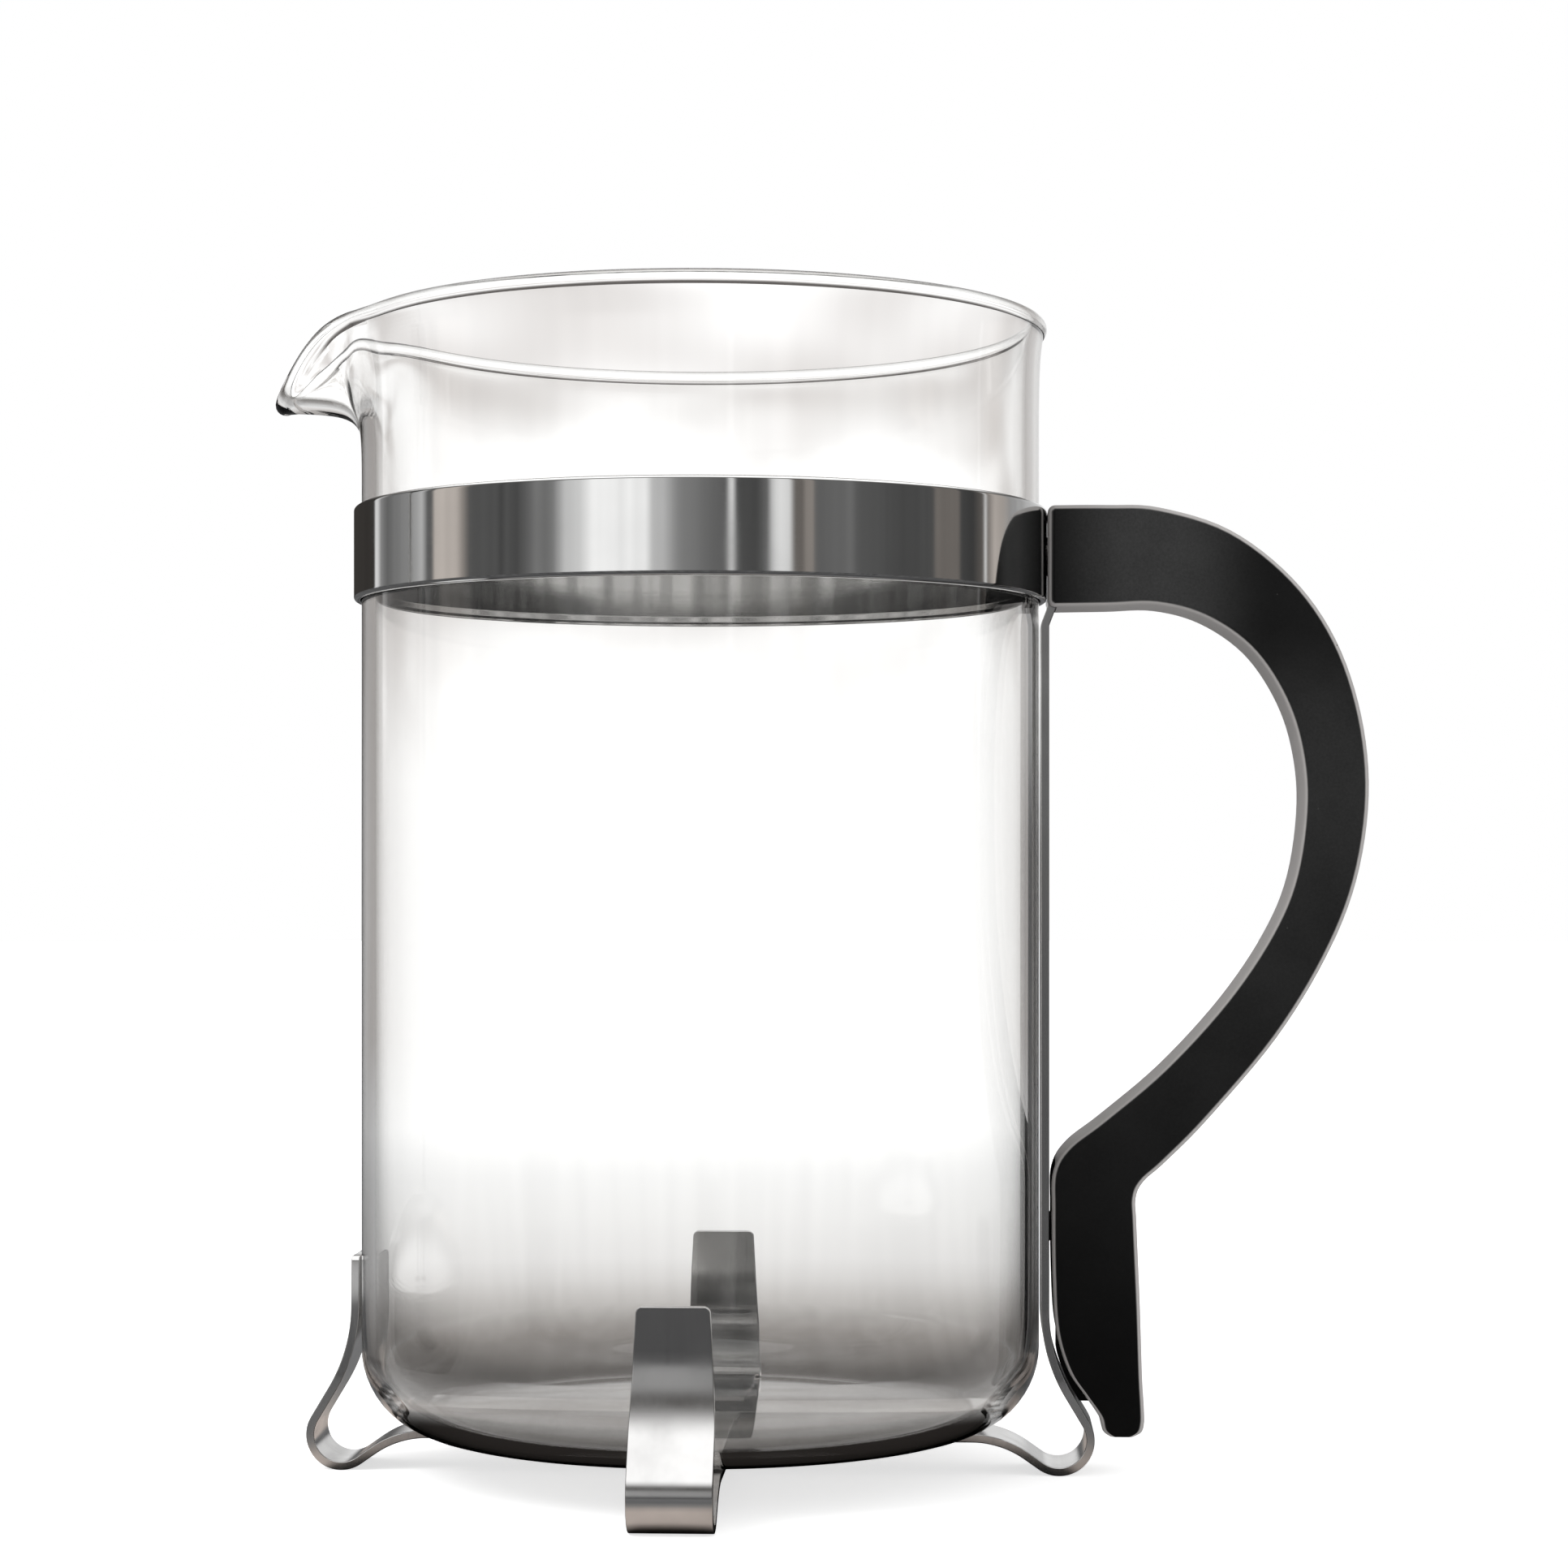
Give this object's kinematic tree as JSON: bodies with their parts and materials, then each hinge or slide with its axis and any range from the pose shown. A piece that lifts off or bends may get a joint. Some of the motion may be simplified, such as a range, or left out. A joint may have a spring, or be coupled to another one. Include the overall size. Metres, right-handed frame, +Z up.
{
  "type": "french press",
  "caption": "French press: glass beaker with pouring spout in a four-footed steel frame with black handle, its lid and plunger stood beside it.",
  "frame": {"origin": "on the beaker's axis, at the height of the table that the feet and the plunger's filter stand on", "axes": "+Z up along the beaker's axis, +X towards the handle, -X towards the spout and the plunger set aside"},
  "size_m": [0.3149, 0.116, 0.195],
  "materials": {
    "glass": "clear borosilicate glass",
    "polished_steel": "polished, with a faint upright grain",
    "strip_steel": "polished strip with soft edges",
    "handle_plastic": "fine matte",
    "screw_steel": "plain",
    "insert_brass": "turned",
    "filter_steel": "pressed sheet",
    "woven_mesh": "fine woven wire",
    "rod_steel": "bright polished",
    "lid_plastic": "smooth matte"
  },
  "bodies": {
    "frame": {"band": "polished_steel", "strap_strip": "strip_steel", "cross_strip": "strip_steel", "base_rivet": "strip_steel", "handle": "handle_plastic", "handle_screws": "screw_steel", "handle_inserts": "insert_brass"},
    "beaker": {"beaker": "glass"},
    "filter": {"cross_plate": "filter_steel", "hub_nut": "filter_steel", "mesh_screen": "woven_mesh", "spiral_plate": "filter_steel", "edge_spring": "filter_steel"},
    "rod": {"plunger_rod": "rod_steel", "rod_collar": "rod_steel", "knob": "handle_plastic", "knob_insert": "insert_brass"},
    "lid_guide": {"lid_bush": "rod_steel", "bush_clip": "screw_steel"},
    "lid": {"lid_insert": "lid_plastic", "lid_dome": "polished_steel"}
  },
  "joints": [
    {"name": "beaker_lift", "type": "slide", "parent": "frame", "child": "beaker", "axis": [0, 0, 1], "range_m": [0, 0.175]},
    {"name": "plunger_lift", "type": "slide", "parent": "frame", "child": "filter", "axis": [0, 0, 1], "range_m": [0, 0.2]},
    {"name": "rod_unscrew", "type": "hinge", "parent": "filter", "child": "rod", "pos_m": [-0.165, 0, 0.1], "axis": [0, 0, 1], "continuous": true},
    {"name": "lid_slide", "type": "slide", "parent": "rod", "child": "lid_guide", "axis": [0, 0, 1], "range_m": [0, 0.1385]},
    {"name": "lid_turn", "type": "hinge", "parent": "lid_guide", "child": "lid", "pos_m": [-0.165, 0, 0.02], "axis": [0, 0, 1], "continuous": true}
  ]
}
